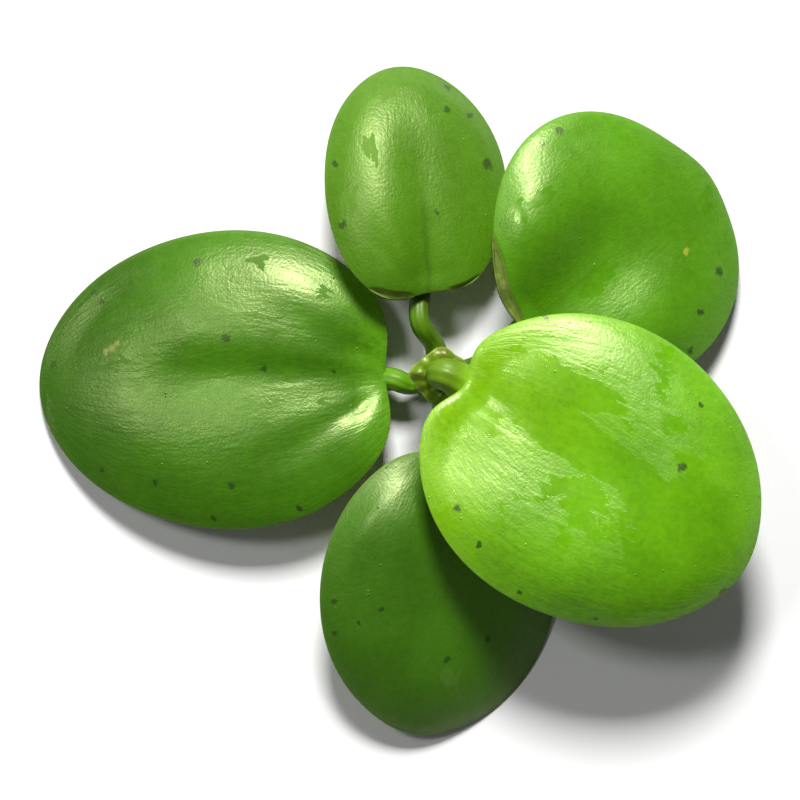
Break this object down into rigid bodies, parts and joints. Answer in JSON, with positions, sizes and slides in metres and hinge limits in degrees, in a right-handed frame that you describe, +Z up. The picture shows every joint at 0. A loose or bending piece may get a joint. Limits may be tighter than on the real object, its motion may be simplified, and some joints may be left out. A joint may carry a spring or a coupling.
{
  "type": "frogbit",
  "caption": "Small floating water plant: thick, glossy rounded leaves on short stalks round a squat crown, with a thin sheath and fine roots beneath, lying on a flat surface.",
  "frame": {"origin": "middle of the crown's flat underside, on the surface that the plant lies on", "axes": "+Z up from the surface; +Y towards the top of the picture, which looks straight down; +X to its right"},
  "size_m": [0.063, 0.0588, 0.013],
  "materials": {
    "leaf": "thick living leaf, waxy and satin on top, spongy olive pad beneath",
    "young_leaf": "young leaf, bright yellow-green and glossy",
    "stalk": "smooth, fleshy green stalk with fine lengthwise lines",
    "young_stalk": "smooth, fleshy yellow-green stalk with a moist gloss",
    "crown": "olive, fleshy and faintly ringed",
    "sheath": "thin, translucent olive skin with a pale rim",
    "root": "pale cream root with fine side hairs"
  },
  "bodies": {
    "root": {"crown": "crown", "sheath": "sheath", "stalk_left": "stalk", "stalk_top": "stalk", "stalk_top_right": "stalk", "stalk_right": "young_stalk", "stalk_bottom": "stalk", "leaf_left": "leaf", "leaf_top": "leaf", "leaf_top_right": "leaf", "leaf_right": "young_leaf", "leaf_bottom": "leaf", "root_1": "root", "root_2": "root", "root_3": "root", "root_4": "root", "root_5": "root", "root_6": "root", "root_7": "root", "root_8": "root"}
  },
  "joints": []
}
